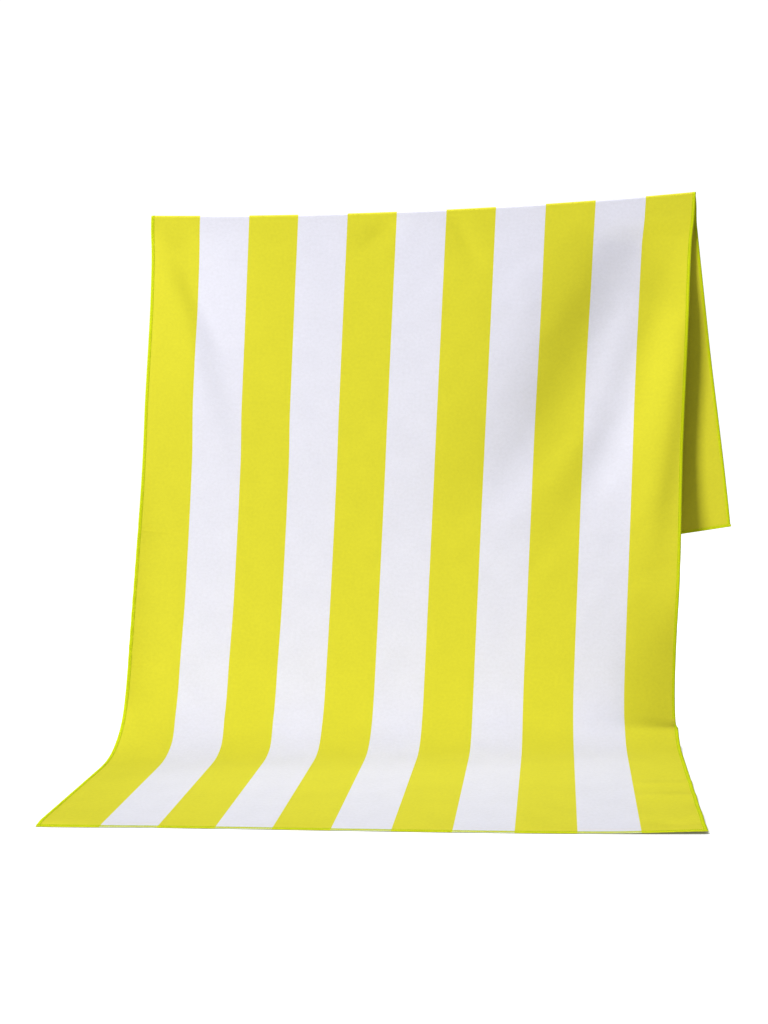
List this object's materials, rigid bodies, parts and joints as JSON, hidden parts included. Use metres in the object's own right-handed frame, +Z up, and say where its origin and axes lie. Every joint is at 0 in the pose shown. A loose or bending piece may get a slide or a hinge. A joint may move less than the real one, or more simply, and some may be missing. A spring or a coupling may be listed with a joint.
{
  "type": "beach towel",
  "caption": "Striped microfibre beach towel with overlocked edges, hung over a thin rail with its front falling to the floor and running out over it.",
  "frame": {"origin": "on the axis of the rail the towel hangs over, at mid width", "axes": "+Z up; the front drop faces -Y and the floor run goes out towards -Y; +X along the rail, to the right seen from the front"},
  "size_m": [1.0518, 0.5861, 0.8847],
  "materials": {
    "striped_cloth": "matte brushed microfibre, lime yellow and white stripes along its length",
    "looper_thread": "soft textured polyester overlock thread, bright lime",
    "needle_thread": "spun polyester sewing thread, lime"
  },
  "bodies": {
    "root": {"towel_cloth": "striped_cloth", "left_face_looper": "looper_thread", "right_face_looper": "looper_thread", "front_face_looper": "looper_thread", "back_face_looper": "looper_thread", "left_back_looper": "looper_thread", "right_back_looper": "looper_thread", "front_back_looper": "looper_thread", "back_back_looper": "looper_thread", "left_needle_thread": "needle_thread", "right_needle_thread": "needle_thread", "front_needle_thread": "needle_thread", "back_needle_thread": "needle_thread"}
  },
  "joints": []
}
